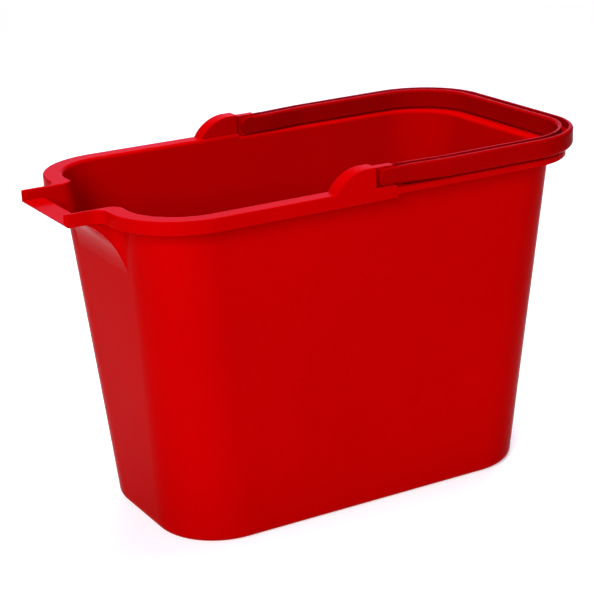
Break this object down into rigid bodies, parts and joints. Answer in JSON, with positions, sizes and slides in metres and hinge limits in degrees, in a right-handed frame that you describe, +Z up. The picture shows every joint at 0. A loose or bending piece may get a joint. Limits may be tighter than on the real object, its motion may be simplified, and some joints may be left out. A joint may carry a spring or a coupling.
{
  "type": "wash bucket",
  "caption": "Oblong wash bucket with an open pouring spout on one end and a fold-down bail handle that rests on the rim at the other end.",
  "frame": {"origin": "centre of the tub's footprint, on the floor it stands on", "axes": "+Z up, +X along the tub towards the end where the folded handle rests, spout towards -X, the handle's two pivots on one line along Y"},
  "size_m": [0.3955, 0.2174, 0.2634],
  "materials": {
    "tub_plastic": "glossy moulded polypropylene, red",
    "handle_plastic": "glossy moulded polypropylene, red"
  },
  "bodies": {
    "tub": {"tub": "tub_plastic"},
    "handle": {"handle": "handle_plastic"}
  },
  "joints": [
    {"name": "handle_swing", "type": "hinge", "parent": "tub", "child": "handle", "pos_m": [0.0035, 0, 0.2538], "axis": [0, -1, 0], "range_deg": [0, 105]}
  ]
}
